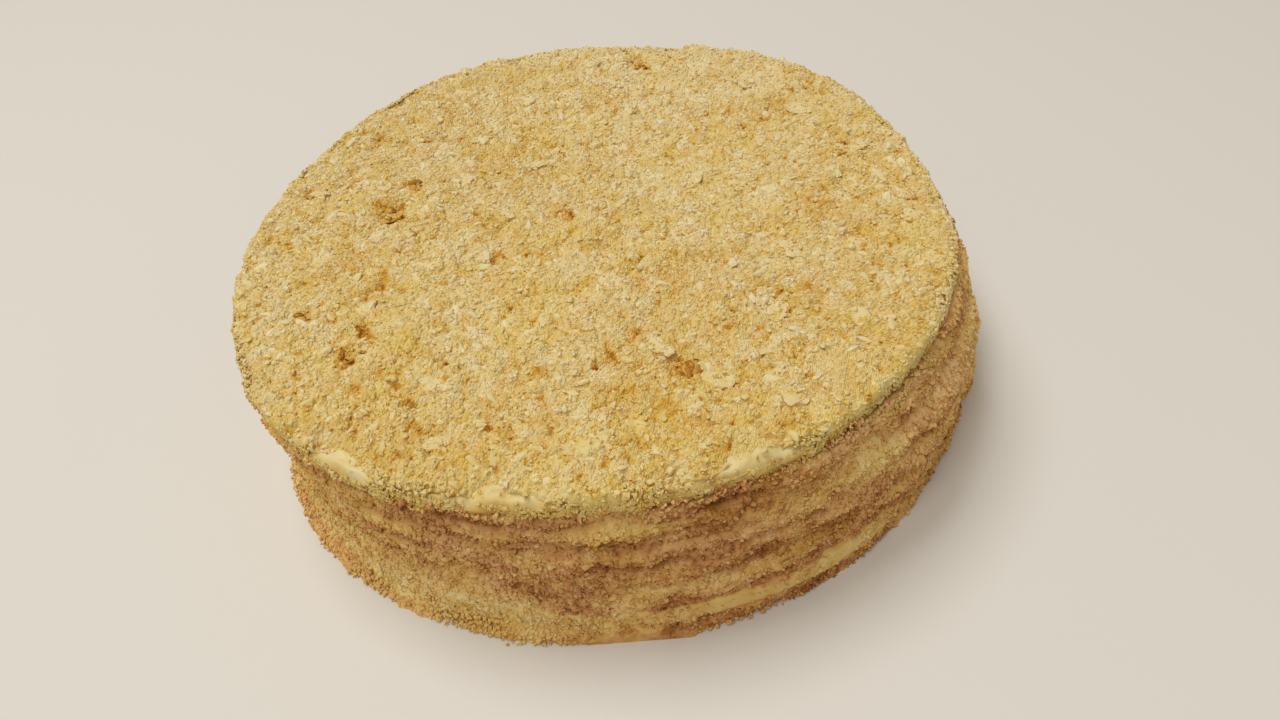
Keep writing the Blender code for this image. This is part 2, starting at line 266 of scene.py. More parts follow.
# Painted light and shade on each crumb: low points deeper in tone, high points paler, on the top and side,
# more on the rim, turning at the middle height given
PAINTED_SHADE = 0.36
RIM_PAINTED_SHADE = 0.50
PAINTED_SHADE_MIDDLE = 0.6
TOP_BURIED = 0.25
TOP_LIFT = 0.45 * MM
SIDE_BURIED = 0.1
SIDE_LIFT = 0.7 * MM
RIM_CRUMBS = 19500
HEM_HIGHEST = 2.2 * MM
RIM_TONE = 0.64
FOOT_CRUMBS = 8500
FOOT_HEAP_BEARING = 232.0
FOOT_HEAP_HALF = 42.0
SHARDS_EACH = 9
UP = (0.0, 0.0, 1.0)

# Fineness of the dense pieces: points round a ring, cells along a quarter of the coat, and their grain
RING_POINTS = 1080
COAT_CELLS = 280
GRAIN = 0.5 * MM

# Camera, floor, sky, and lights by name, power, bearing and rise
CAMERA_PLACE = (0.02067, -0.28333, 0.26614)
CAMERA_TURN = (46.041, 4.938, -2.024)
CAMERA_LENS = 28.33
FLOOR_REACH = 3.0
FLOOR_COLOUR = (0.76, 0.75, 0.715, 1.0)
SKY_COLOUR = (1.0, 0.85, 0.62, 1.0)
SKY_STRENGTH = 0.27
LIGHTS = (("key", 26.8, 150.0, 72.0), ("second", 16.6, 250.0, 60.0))
LIGHT_SIZE = 1.2
LIGHT_DISTANCE = 2.4
LIGHT_COLOUR = (1.0, 0.98, 0.955)


def smooth(x):
    """Ease from 0 to 1 as x goes from 0 to 1."""
    x = np.clip(x, 0.0, 1.0)
    return x * x * (3.0 - 2.0 * x)


def unit(vectors):
    """Vectors of length one."""
    return vectors / np.linalg.norm(vectors, axis=-1, keepdims=True)


def spot(angle, radius, z):
    """Points from a bearing in radians, a radius and a height."""
    return np.stack(np.broadcast_arrays(radius * np.cos(angle), radius * np.sin(angle), z), axis=-1)


def hashed(cells, seed):
    """Repeatable numbers from 0 to 1 for whole-number places, mixed, shifted and mixed again."""
    x, y, z = (cells[..., i].astype(np.uint32) for i in range(3))
    mixed = x * np.uint32(374761393) + y * np.uint32(668265263) + z * np.uint32(2246822519)
    mixed = mixed + np.uint32(seed * 97561 + 7)
    for factor in (1274126177, 2654435761):
        mixed = (mixed ^ (mixed >> np.uint32(15))) * np.uint32(factor)
    return (mixed ^ (mixed >> np.uint32(16))) / 4294967295.0


def noise(points, size, seed):
    """Smooth noise from -1 to 1: numbers at the corners of a lattice of cells, eased between them."""
    place = points / size + 0.371 * seed
    low = np.floor(place)
    part = smooth(place - low)
    cells = low.astype(np.int64)
    total = np.zeros(place.shape[:-1])
    for corner in itertools.product((0, 1), repeat=3):
        share = np.prod(np.where(corner, part, 1.0 - part), axis=-1)
        total += share * hashed(cells + np.array(corner), seed)
    return 2.0 * total - 1.0


def wander(points, rows):
    """Sum of noises, each given by its strength, size and seed."""
    return sum(strength * noise(points, size, seed) for strength, size, seed in rows)


def packed(points, size, seed):
    """Packed lumps: domes about points scattered one to a cell, and the own number of the nearest point."""
    place = points / size + 0.371 * seed
    cells = np.floor(place).astype(np.int64)
    nearest = np.full(place.shape[:-1], 9.0)
    number = np.zeros(place.shape[:-1])
    for step in itertools.product((-1, 0, 1), repeat=3):
        cell = cells + np.array(step)
        centre = cell + np.stack([hashed(cell, seed + i) for i in (1, 2, 3)], axis=-1)
        away = np.sum((place - centre) ** 2, axis=-1)
        closer = away < nearest
        nearest = np.where(closer, away, nearest)
        number = np.where(closer, hashed(cell, seed + 4), number)
    return 1.0 - np.minimum(nearest * 1.2, 1.3), number


def turn_between(angle, bearing):
    """Smallest turn in degrees from a bearing to angles in radians."""
    return (np.degrees(angle) - bearing + 180.0) % 360.0 - 180.0


def lobes(angle, first=1):
    """Outline's distance from its circle: a sum of cosines, from the lobe count `first` up."""
    return sum(
        height * np.cos(count * (angle - math.radians(bearing)))
        for count, height, bearing in LOBES
        if count >= first
    )


def top_edge(angle):
    """Radius of the cream cap."""
    return TOP_RADIUS + lobes(angle)


def side_edge(angle, z):
    """Radius of the stack: a leaning circle with a bulge and a foot, drawn in to the top's outline."""
    body = BODY_RADIUS + BODY_LOBE_SHARE * lobes(angle, first=2)
    body = body + LEAN * np.cos(angle - math.radians(LEAN_BEARING))
    across = turn_between(angle, BULGE_BEARING) / BULGE_WIDTH
    up = (z - BULGE_HEIGHT) / BULGE_SPREAD
    body = body + BULGE * np.exp(-across * across - up * up)
    spread = FOOT_SPREAD + FOOT_SPREAD_LEFT * np.cos(angle - math.radians(FOOT_BEARING))
    body = body + spread * np.maximum(0.0, 1.0 - z / FOOT_HEIGHT) ** 2
    share = SHOULDER_SHARE * smooth((z - SHOULDER_LOW) / (SHOULDER_HIGH - SHOULDER_LOW))
    return body + share * (top_edge(angle) - body)


def wave(angle, level):
    """Rise of the boundary under layer `level` at the side: two cosines that drift from layer to layer."""
    if level == 0:
        return 0.0 * angle
    long_part = WAVE_LONG * np.cos(2.0 * angle - 2.2 - 0.45 * level)
    return long_part + WAVE_SHORT * np.cos(5.0 * angle + 1.3 * level)


def layer_at(angle, z):
    """Number of the layer at a height on the side, 0 at the foot, and the share of the way up that layer."""
    heights = np.stack([BOUNDARIES[level] + wave(angle, level) for level in range(len(BOUNDARIES))])
    number = np.clip(np.sum(heights[1:] <= z, axis=0), 0, len(LAYERS) - 1)
    low = np.take_along_axis(heights, number[None], axis=0)[0]
    high = np.take_along_axis(heights, number[None] + 1, axis=0)[0]
    return number, np.clip((z - low) / (high - low), 0.0, 1.0)


def bare_rim(angle, column):
    """Sum of bells round the rim: each row's value in a column of BARE_RIM, at the row's bearing."""
    total = 0.0 * angle
    for row in BARE_RIM:
        across = turn_between(angle, row[0]) / row[1]
        total = total + row[column] * np.exp(-(across ** 2.0))
    return total


def bare_band(angle, number):
    """How bare the cream of the lowest cream layer is, from 0 to 1: bare over one stretch of bearings."""
    across = np.abs(turn_between(angle, BARE_BAND_BEARING)) / BARE_BAND_HALF
    torn = smooth(1.1 + 2.0 * noise(spot(angle, BODY_RADIUS, 0.0), 6.0 * MM, 18))
    return (number == BARE_LAYER) * np.exp(-(across ** 6.0)) * torn


def torn_layer(angle, z):
    """How bare the side is at a height, the number of the layer there, and the share of the way up it.

    The height is carried off by noise where the side isn't bare, so the layers' edges wander and look torn.
    """
    place = spot(angle, BODY_RADIUS, z)
    number, _ = layer_at(angle, z)
    bare = bare_band(angle, number)
    number, share = layer_at(angle, z + (1.0 - bare) * wander(place, TORN_LAYERS))
    return bare, number, share


def side_radius(angle, z):
    """Radius of the dressed side: the stack's edge, stepped and bellied by layer, with crags and crumbs.

    Close under the cap it is carried out to the cap's own edge in places, so that no groove runs all round.
    """
    bare, number, share = torn_layer(angle, z)
    belly = 1.0 - (2.0 * share - 1.0) ** 4
    shown = np.clip(0.45 + 1.1 * noise(spot(angle, BODY_RADIUS, 1.6 * z), 22.0 * MM, 15), 0.0, 1.0)
    shown = shown + (1.0 - shown) * bare
    step = STAND_OUT[number] + belly * np.where(IS_CREAM[number], 0.6 * MM, 0.2 * MM)
    radius = side_edge(angle, z) + shown * step - 0.7 * MM
    filled = np.clip(0.65 + 1.3 * noise(spot(angle, TOP_RADIUS, 0.0), 13.0 * MM, 104), 0.0, 1.0)
    filled = filled * smooth((z - CAP_BOTTOM + 5.0 * MM) / (5.0 * MM))
    radius = radius + filled * np.maximum(top_edge(angle) - 0.6 * MM - radius, 0.0)
    place = spot(angle, radius, z)
    lumps = packed(place, *SIDE_LUMPS)[0]
    grains = packed(place, *SIDE_GRAINS)[0]
    ledge = np.clip(2.2 * noise(place * (1.0, 1.0, 2.4), 12.0 * MM, 17), -1.0, 1.0)
    crag = LEDGE_DEPTH * ledge + CRAG_DEPTH * noise(place * (1.0, 1.0, 1.4), 5.0 * MM, 12)
    soft = 0.4 * MM * noise(place * (1.0, 1.0, 2.0), 9.0 * MM, 13)
    rough = crag + LUMP_DEPTH * lumps + GRAIN_DEPTH * grains - 0.4 * MM
    return radius + rough * (1.0 - bare) + (soft + 0.5 * MM) * bare


def side_look(angle, z):
    """Tone and cream share of the side's crumbs: each layer's own, changed by patches and soft noise."""
    place = spot(angle, BODY_RADIUS, z)
    bare, number, _ = torn_layer(angle, z)
    cream = IS_CREAM[number]
    clear = smooth(0.55 + 1.3 * noise(place * (1.0, 1.0, 2.0), 20.0 * MM, 24))
    clear = clear + (1.0 - clear) * bare
    tone = SIDE_TONE + clear * np.where(cream, CREAM_TONE - SIDE_TONE, PASTRY_TONE - SIDE_TONE)
    yellow = 0.2 + clear * np.where(cream, 0.35, -0.2)
    for bearing, height, half_width, half_height, tone_change, cream_change in PATCHES:
        across = turn_between(angle, bearing) / half_width
        up = (z - height) / half_height
        near = np.exp(-across * across - up * up)
        tone = tone + tone_change * near
        yellow = yellow + cream_change * near
    tone = tone + 0.13 * noise(place * (1.0, 1.0, 2.0), 14.0 * MM, 21) + 0.09 * noise(place, 3.0 * MM, 22)
    relief, lump_number = packed(place, *SIDE_LUMPS)
    grain = packed(place, *SIDE_GRAINS)[0]
    # Painted light and shade: paler on the side's lumps and grains, deeper between them; each lump's own
    # number adds random tone
    tone = tone + (1.0 - bare) * (0.08 * (lump_number - 0.5) + 0.14 * (relief - 0.6) + 0.12 * (grain - 0.6))
    yellow = yellow + 0.45 * noise(place * (1.0, 1.0, 2.0), 12.0 * MM, 23)
    return np.clip(tone, 0.05, 1.0), np.clip(yellow, 0.0, 1.0)


def bells(x, y, rows):
    """Sum of bells, each given by its place, half width and height."""
    total = 0.0 * x
    for centre_x, centre_y, half_width, height in rows:
        total = total + height * np.exp(-((x - centre_x) ** 2 + (y - centre_y) ** 2) / half_width ** 2)
    return total


def spot_depth(points):
    """How much deeper the tone is in the browner spots: bells at places carried off by noise."""
    flat = points * (1.0, 1.0, 0.0)
    x = points[..., 0] + SPOT_SPREAD * noise(flat, 3.5 * MM, 51)
    y = points[..., 1] + SPOT_SPREAD * noise(flat, 3.5 * MM, 52)
    return bells(x, y, SPOTS)


def lump_tone(points):
    """Tone of the coat: pale on its packed lumps, deeper in the crevices and in the browner spots.

    The paler lumps and deeper crevices are painted light and shade. It is also a little deeper towards the
    front, and drifts over wide patches.
    """
    flat = points * (1.0, 1.0, 0.0)
    relief, number = packed(flat, PACKED[1][0], PACKED[1][2])
    fine_relief, fine_number = packed(flat, PACKED[2][0], PACKED[2][2])
    strength = np.clip(1.0 + 1.3 * noise(flat, 11.0 * MM, 53), 0.15, 2.2)
    # Painted shade in the crevices between the packed lumps
    crevice = smooth((0.45 - relief) / 0.5) + 0.9 * smooth((0.40 - fine_relief) / 0.6)
    tone = COAT_TONE - PAINTED_SHADE_DEPTH * strength * crevice
    tone = tone + 0.18 * (number - 0.5) + 0.05 * (fine_number - 0.5)
    return tone + wander(flat, COAT_MOTTLES) + FRONT_DEEPER * points[..., 1] - spot_depth(points)


def golden_share(points):
    """How golden the coat's crumbs are, from 0 to 1: in soft patches, and more towards the front."""
    flat = points * (1.0, 1.0, 0.0)
    share = GOLDEN_SHARE + wander(flat, GOLDEN_MOTTLES)
    return np.clip(share - GOLDEN_FRONT * points[..., 1], 0.0, 1.0)


def coat_edge(angle):
    """Radius of the crumb coat: inside the cap's edge, and further in where the rim is bare."""
    place = spot(angle, TOP_RADIUS, 0.0)
    return top_edge(angle) - COAT_INSET - bare_rim(angle, STOP_SHORT) + wander(place, RAGGED_EDGE)


def coat_height(x, y):
    """Height of the coat's bed: swells, clumps and packed lumps, less the hollows and a round rim."""
    place = np.stack((x, y, 0.0 * x), axis=-1)
    z = COAT_HEIGHT - CRUMB_BED + wander(place, SWELLS)
    for size, height, seed in PACKED:
        z = z + height * packed(place, size, seed)[0]
    angle = np.arctan2(y, x)
    bare = np.clip(bare_rim(angle, STOP_SHORT) / (2.5 * MM), 0.0, 1.0)
    inward = coat_edge(angle) - np.hypot(x, y)
    edge = np.clip(1.0 - inward / (1.8 * RIM_ROUND * (1.0 + 0.8 * bare)), 0.0, 1.0)
    fall = (1.0 - bare) * (1.0 - np.sqrt(1.0 - edge * edge)) + bare * edge ** 1.6
    z = z - bells(x, y, HOLLOWS) - RIM_ROUND * fall
    return np.maximum(z, COAT_BOTTOM + 0.3 * MM)


def round_off(a, b):
    """Carry a square's points to a disc's: rings of the square become circles, and cells keep one size."""
    wide = np.abs(a) > np.abs(b)
    divisor = np.where(wide, a, np.where(b == 0.0, 1.0, b))
    slope = np.where(wide, b, a) / divisor
    angle = np.where(wide, math.pi / 4.0 * slope, math.pi / 2.0 - math.pi / 4.0 * slope)
    radius = np.where(wide, a, b)
    return np.abs(radius), angle + np.where(radius < 0.0, math.pi, 0.0)


def grid_faces(rows, columns, closed):
    """Triangles of a grid of points, row by row; a closed grid joins its last column to its first."""
    across = columns if closed else columns - 1
    row, column = np.meshgrid(np.arange(rows - 1), np.arange(across), indexing="ij")
    here = row * columns + column
    right = row * columns + (column + 1) % columns
    above = here + columns
    above_right = right + columns
    halves = (np.stack((here, right, above_right), axis=-1), np.stack((here, above_right, above), axis=-1))
    return np.concatenate([half.reshape(-1, 3) for half in halves])


def fan_faces(ring, centre, upward):
    """Triangles from a ring of points, given anticlockwise, to its centre point, facing up or down."""
    following = np.roll(ring, -1)
    middle = np.full(len(ring), centre)
    order = (ring, following, middle) if upward else (following, ring, middle)
    return np.stack(order, axis=-1)


def repeated_faces(faces, each, copies):
    """Triangles of several copies of a mesh that has `each` points."""
    return (faces[None] + each * np.arange(copies)[:, None, None]).reshape(-1, 3)


def closed_faces(rows, columns):
    """Triangles of a closed grid, and of fans from its first and last rows to the two points after it."""
    ring = np.arange(columns)
    count = rows * columns
    bottom = fan_faces(ring, count, upward=False)
    top = fan_faces(ring + count - columns, count + 1, upward=True)
    return np.concatenate((grid_faces(rows, columns, closed=True), bottom, top))


def add_piece(name, points, faces, finish, marks, stands_for=None, flat=False):
    """New mesh at the origin from points about the cake's axis, triangles and values for each point.

    Any point that would lie outside the part's own box is moved onto it.
    """
    points = np.clip(points, BOX_LOW, BOX_HIGH)
    mesh = bpy.data.meshes.new(name)
    mesh.vertices.add(len(points))
    mesh.vertices.foreach_set("co", (points + AXIS).astype(np.float32).ravel())
    mesh.loops.add(3 * len(faces))
    mesh.loops.foreach_set("vertex_index", faces.astype(np.int32).ravel())
    mesh.polygons.add(len(faces))
    mesh.polygons.foreach_set("loop_start", np.arange(0, 3 * len(faces), 3, dtype=np.int32))
    for label, values in marks.items():
        mark = mesh.attributes.new(label, "FLOAT", "POINT")
        mark.data.foreach_set("value", values.astype(np.float32).ravel())
    mesh.update(calc_edges=True)
    if flat:
        mesh.shade_flat()
    else:
        mesh.shade_smooth()
    mesh.materials.append(finish)
    piece = bpy.data.objects.new(name, mesh)
    bpy.context.scene.collection.objects.link(piece)
    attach(piece, "root")
    if stands_for:
        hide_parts(stands_for)


# Finishes
CRUMB_RAMP = (
    (0.00, (0.230, 0.070, 0.008)),
    (0.18, (0.480, 0.200, 0.020)),
    (0.36, (0.660, 0.385, 0.068)),
    (0.54, (0.730, 0.540, 0.190)),
    (0.70, (0.775, 0.640, 0.335)),
    (0.84, (0.800, 0.700, 0.430)),
    (1.00, (0.840, 0.765, 0.530)),
)
GOLDEN_RAMP = (
    (0.00, (0.280, 0.095, 0.008)),
    (0.18, (0.500, 0.230, 0.020)),
    (0.36, (0.660, 0.430, 0.060)),
    (0.54, (0.730, 0.550, 0.140)),
    (0.70, (0.775, 0.620, 0.235)),
    (1.00, (0.840, 0.720, 0.380)),
)
CREAM_RAMP = (
    (0.00, (0.440, 0.200, 0.030)),
    (0.35, (0.700, 0.470, 0.120)),
    (0.65, (0.760, 0.640, 0.310)),
    (1.00, (0.840, 0.790, 0.550)),
)
# The side's ramps are redder, browner and deeper than the top's: partly the side's own colour, partly
# painted reddish bounce light and painted shade
SIDE_RAMP = (
    (0.00, (0.190, 0.052, 0.009)),
    (0.20, (0.420, 0.160, 0.040)),
    (0.40, (0.660, 0.350, 0.135)),
    (0.60, (0.790, 0.515, 0.235)),
    (0.80, (0.870, 0.670, 0.360)),
    (1.00, (0.910, 0.800, 0.540)),
)
SIDE_CREAM_RAMP = (
    (0.00, (0.360, 0.135, 0.015)),
    (0.35, (0.670, 0.390, 0.085)),
    (0.65, (0.810, 0.590, 0.205)),
    (1.00, (0.890, 0.765, 0.430)),
)


def add_ramp(tree, stops, factor):
    """Colour ramp node with the given stops, fed by a socket."""
    ramp = tree.nodes.new("ShaderNodeValToRGB")
    elements = ramp.color_ramp.elements
    while len(elements) < len(stops):
        elements.new(0.5)
    for element, (position, colour) in zip(elements, stops):
        element.position = position
        element.color = (*colour, 1.0)
    tree.links.new(factor, ramp.inputs["Fac"])
    return ramp.outputs["Color"]


def add_noise(tree, scale, detail, stretch=(1.0, 1.0, 1.0)):
    """Noise on the piece's own coordinates, centred on the cake's axis and stretched."""
    place = tree.nodes.new("ShaderNodeTexCoord")
    mapping = tree.nodes.new("ShaderNodeMapping")
    mapping.inputs["Location"].default_value = [-shift * factor for shift, factor in zip(AXIS, stretch)]
    mapping.inputs["Scale"].default_value = stretch
    pattern = tree.nodes.new("ShaderNodeTexNoise")
    pattern.inputs["Scale"].default_value = scale
    pattern.inputs["Detail"].default_value = detail
    tree.links.new(place.outputs["Object"], mapping.inputs["Vector"])
    tree.links.new(mapping.outputs["Vector"], pattern.inputs["Vector"])
    return pattern.outputs["Fac"]


def add_math(tree, operation, *values):
    """Math node fed by sockets and plain numbers."""
    node = tree.nodes.new("ShaderNodeMath")
    node.operation = operation
    for socket, value in zip(node.inputs, values):
        if isinstance(value, float):
            socket.default_value = value
        else:
            tree.links.new(value, socket)
    return node.outputs[0]


def add_sum(tree, first, second, factor):
    """First socket plus the second, centred on 0 and scaled."""
    return add_math(tree, "ADD", first, add_math(tree, "MULTIPLY_ADD", second, factor, -0.5 * factor))


def add_step(tree, value, low, high):
    """Value eased from 0 at the low end to 1 at the high end."""
    step = tree.nodes.new("ShaderNodeMapRange")
    step.interpolation_type = "SMOOTHSTEP"
    step.inputs["From Min"].default_value = low
    step.inputs["From Max"].default_value = high
    tree.links.new(value, step.inputs["Value"])
    return step.outputs["Result"]


def add_specks(tree, tone, depth):
    """Tone made deeper in clustered specks: fine noise past a threshold, where coarser noise is high."""
    fine = add_step(tree, add_noise(tree, 650.0, 2.0), 0.57, 0.68)
    cluster = add_step(tree, add_noise(tree, 110.0, 2.0), 0.43, 0.66)
    return add_math(tree, "MULTIPLY_ADD", add_math(tree, "MULTIPLY", fine, cluster), -depth, tone)


def mark_socket(tree, label):
    """Value of a mark kept on the piece's points."""
    mark = tree.nodes.new("ShaderNodeAttribute")
    mark.attribute_name = label
    return mark.outputs["Fac"]


def new_finish(name, roughness):
    """Principled material with its roughness, its node tree and its shader."""
    finish = bpy.data.materials.new(name)
    finish.use_nodes = True
    shader = finish.node_tree.nodes["Principled BSDF"]
    shader.inputs["Roughness"].default_value = roughness
    shader.inputs["Specular IOR Level"].default_value = 0.3
    return finish, finish.node_tree, shader


def add_bump(tree, shader, height, strength, distance):
    """Bump on a shader from a height socket."""
    bump = tree.nodes.new("ShaderNodeBump")
    bump.inputs["Strength"].default_value = strength
    bump.inputs["Distance"].default_value = distance
    tree.links.new(height, bump.inputs["Height"])
    tree.links.new(bump.outputs["Normal"], shader.inputs["Normal"])


def crumb_finish(name, ramps, grain, unevenness, bump_distance, specks, stretch=(1.0, 1.0, 1.0)):
    """Dry crumb: its tone mark, uneven and speckled, through two ramps that its cream mark mixes."""
    finish, tree, shader = new_finish(name, 0.88)
    fine = add_noise(tree, grain, 3.0, stretch)
    tone = add_sum(tree, mark_socket(tree, "tone"), fine, unevenness)
    tone = add_specks(tree, tone, specks)
    mix = tree.nodes.new("ShaderNodeMix")
    mix.data_type = "RGBA"
    tree.links.new(mark_socket(tree, "cream"), mix.inputs["Factor"])
    tree.links.new(add_ramp(tree, ramps[0], tone), mix.inputs["A"])
    tree.links.new(add_ramp(tree, ramps[1], tone), mix.inputs["B"])
    tree.links.new(mix.outputs["Result"], shader.inputs["Base Color"])
    add_bump(tree, shader, add_noise(tree, 2.0 * grain, 2.0), 0.5, bump_distance)
    return finish


def cream_finish(name, stops):
    """Custard cream: pale yellow with soft deeper patches, a satin surface and some light let in."""
    finish, tree, shader = new_finish(name, 0.45)
    patches = add_noise(tree, 90.0, 4.0)
    tone = add_sum(tree, mark_socket(tree, "tone"), patches, 0.35)
    tree.links.new(add_ramp(tree, stops, tone), shader.inputs["Base Color"])
    shader.inputs["Subsurface Weight"].default_value = 0.15
    shader.inputs["Subsurface Radius"].default_value = (1.0, 0.7, 0.3)
    shader.inputs["Subsurface Scale"].default_value = 2.5 * MM
    add_bump(tree, shader, add_noise(tree, 500.0, 3.0), 0.4, 0.3 * MM)
    return finish


# Ramps, grain, unevenness of tone, bump distance and depth of specks of each finish
TOP_RAMPS = (CRUMB_RAMP, GOLDEN_RAMP)
SIDE_RAMPS = (SIDE_RAMP, SIDE_CREAM_RAMP)
CRUMB_BASE = crumb_finish("packed crumbs", TOP_RAMPS, 700.0, 0.14, 0.3 * MM, 0.36)
CRUMB_LOOSE = crumb_finish("loose crumbs", TOP_RAMPS, 500.0, 0.06, 0.15 * MM, 0.32)
SIDE_LOOSE = crumb_finish("side crumbs", SIDE_RAMPS, 500.0, 0.12, 0.2 * MM, 0.14)
PASTRY_SIDE = crumb_finish("browned pastry", SIDE_RAMPS, 420.0, 0.30, 0.5 * MM, 0.20, (1.0, 1.0, 3.0))
CREAMY_SIDE = crumb_finish("creamy crumbs", SIDE_RAMPS, 420.0, 0.25, 0.5 * MM, 0.20, (1.0, 1.0, 2.0))
CREAM = cream_finish("custard cream", CREAM_RAMP)
SIDE_CREAM = cream_finish("custard cream at the side", SIDE_CREAM_RAMP)


def build_layer(level):
    """Layer of the stack: rows of points up its side by share of its thickness, closed above and below.

    Its radius is the dressed side's, drawn in a little at the layer's two edges, and made grainy.
    """
    name, thickness, _ = LAYERS[level]
    columns = RING_POINTS
    rows = 11 if thickness > 5.0 else 10
    share, angle = np.meshgrid(
        np.linspace(0.0, 1.0, rows), np.linspace(0.0, 2.0 * math.pi, columns, endpoint=False), indexing="ij"
    )
    low = BOUNDARIES[level] + wave(angle, level)
    high = BOUNDARIES[level + 1] - SIDE_GAP + wave(angle, level + 1)
    z = low + share * (high - low)
    drawn_in = 0.1 * MM * (2.0 * np.abs(share - 0.5)) ** 6.0
    within = np.clip(z, low + 0.02 * MM, high)
    row, column = np.meshgrid(np.arange(rows), np.arange(columns), indexing="ij")
    own_level = np.full(row.shape, level)
    cells = np.stack((row, column, own_level), axis=-1)
    bare = bare_band(angle, own_level)
    jitter = GRAIN * (hashed(cells, 6) - 0.5) * (1.0 - bare)
    radius = side_radius(angle, within) - drawn_in + jitter
    points = spot(angle, radius, z).reshape(-1, 3)
    tone, yellow = side_look(angle, z)
    middles = ((0.0, 0.0, BOUNDARIES[level]), (0.0, 0.0, BOUNDARIES[level + 1] - GAP))
    points = np.concatenate((points, middles))
    faces = closed_faces(rows, columns)
    marks = {
        "tone": np.append(tone.ravel(), (0.4, 0.4)),
        "cream": np.append(yellow.ravel(), (0.0, 0.0)),
    }
    finish = PASTRY_SIDE
    if IS_CREAM[level]:
        finish = SIDE_CREAM if level == BARE_LAYER else CREAMY_SIDE
    add_piece(name + "_dense", points, faces, finish, marks, name, flat=level != BARE_LAYER)


def build_cap():
    """Cream cap: rings from its middle to a rounded rim and down its side, raised where it is smeared."""
    columns = RING_POINTS
    down = np.linspace(0.0, 1.0, 7)[1:]
    steps = len(CAP_RINGS) + len(down)
    angle = np.linspace(0.0, 2.0 * math.pi, columns, endpoint=False)
    rise = 0.4 * MM + 1.85 * MM * np.clip(bare_rim(angle, STOP_SHORT) / (3.0 * MM), 0.0, 1.0)
    over = np.concatenate((CAP_RINGS, 0.15 * MM + 0.75 * MM * down))
    fall = np.zeros(steps)
    fall[:len(CAP_RINGS)] = np.clip(1.0 - CAP_RINGS / (6.0 * MM), 0.0, 1.0) ** 2.2
    smear = bare_rim(angle, SMEARED)
    lip = smooth(over / SMEAR_RISE) * (1.0 - smooth((over - SMEAR_END) / SMEAR_FADE))
    lip = lip * (np.arange(steps) < len(CAP_RINGS))
    radius = top_edge(angle)[None] - over[:, None]
    z = CAP_TOP - rise * fall[:, None]
    side_top = CAP_TOP - rise
    side_low = CAP_BOTTOM + wave(angle, len(LAYERS))
    z[len(CAP_RINGS):] = side_top + down[:, None] * (side_low - side_top)
    grid_angle = np.broadcast_to(angle, radius.shape)
    place = spot(grid_angle, radius, z)
    strokes = spot(grid_angle, TOP_RADIUS, np.broadcast_to(4.0 * over[:, None], radius.shape))
    swirl = 0.6 * noise(strokes, 8.0 * MM, 81) + wander(place, CAP_RIPPLES)
    z = z + lip[:, None] * smear * (1.0 + 0.7 * swirl)
    outward = np.where(over < 5.0 * MM, 1.0, 0.3)[:, None]
    radius = radius + outward * (0.2 * smear - 0.4 * MM + 0.6 * MM * noise(place, 5.0 * MM, 84))
    points = spot(grid_angle, radius, z)[::-1].reshape(-1, 3)
    points = np.concatenate((points, ((0.0, 0.0, CAP_BOTTOM), (0.0, 0.0, CAP_TOP))))
    smeared = np.clip(bare_rim(np.arctan2(points[:, 1], points[:, 0]), SMEARED) / (1.6 * MM), 0.0, 1.0)
    tone = CAP_TONE + 0.32 * smeared + 0.18 * noise(points, 5.0 * MM, 83)
    # Painted shade: deeper down the cap's side, where it shows in the gaps between the rim's crumbs
    tone = tone - 0.28 * smooth((CAP_TOP - 0.4 * MM - points[:, 2]) / (2.0 * MM))
    faces = closed_faces(steps, columns)
    add_piece("cream_cap_dense", points, faces, CREAM, {"tone": tone}, "cream_cap")


